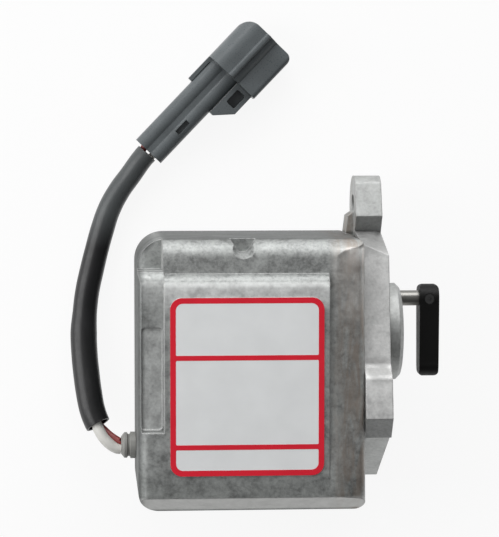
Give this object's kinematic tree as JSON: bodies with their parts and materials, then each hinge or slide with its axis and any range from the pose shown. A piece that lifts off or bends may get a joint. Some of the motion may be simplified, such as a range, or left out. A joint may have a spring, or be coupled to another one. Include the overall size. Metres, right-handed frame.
{
  "type": "engine governor actuator",
  "caption": "Rotary electric actuator in a cast housing with a two-lug pilot flange, a spring-return shaft and arm, and a short lead with a sealed plug.",
  "frame": {"origin": "centre of the round pilot on the flange's mounting face", "axes": "+X along the pilot and shaft, out of the flange; +Y towards the top edge of the label panel; +Z out of the label panel, up when it lies on its rear cover"},
  "size_m": [0.1135, 0.1487, 0.0543],
  "materials": {
    "cast_aluminium": "tumbled die casting",
    "gasket": "matte sheet",
    "plated_steel": "zinc plated",
    "shaft_steel": "ground",
    "core_steel": "laminated sheet",
    "bearing_steel": "polished",
    "spring_steel": "drawn wire",
    "black_steel": "black oxide, satin",
    "seal_rubber": "matte",
    "bobbin_plastic": "moulded nylon",
    "copper_wire": "enamelled wire",
    "grommet_rubber": "satin rubber",
    "white_insulation": "satin insulation",
    "red_insulation": "satin insulation",
    "sleeve_vinyl": "satin vinyl tube",
    "connector_plastic": "satin moulded grey",
    "terminal_brass": "tin-plated brass",
    "plate_face": "printed film, bare"
  },
  "bodies": {
    "base": {"housing": "cast_aluminium", "rear_cover": "cast_aluminium", "cover_gasket": "gasket", "cover_screws": "plated_steel", "front_bearing_outer": "bearing_steel", "front_bearing_balls": "bearing_steel", "rear_bearing_outer": "bearing_steel", "rear_bearing_balls": "bearing_steel", "shaft_seal": "seal_rubber", "return_spring": "spring_steel", "spring_anchor_pin": "shaft_steel", "stop_pins": "shaft_steel", "stator_core": "core_steel", "core_strap": "plated_steel", "core_screws": "plated_steel", "coil_bobbin": "bobbin_plastic", "coil_winding": "copper_wire", "cable_grommet": "grommet_rubber", "lead_wire_white": "white_insulation", "lead_wire_red": "red_insulation", "cable_sleeve": "sleeve_vinyl", "connector_housing": "connector_plastic", "connector_lock": "connector_plastic", "wire_seals": "seal_rubber", "connector_terminals": "terminal_brass", "name_plate": "plate_face"},
    "output": {"output_shaft": "shaft_steel", "rotor": "core_steel", "front_bearing_inner": "bearing_steel", "rear_bearing_inner": "bearing_steel", "retaining_ring": "spring_steel", "spring_collar": "plated_steel", "output_arm": "black_steel", "arm_set_screw": "plated_steel"}
  },
  "joints": [
    {"name": "arm_swing", "type": "hinge", "parent": "base", "child": "output", "pos_m": [0, 0.0103, 0], "axis": [1, 0, 0], "range_deg": [0, 25], "deforming": ["return_spring"]}
  ]
}
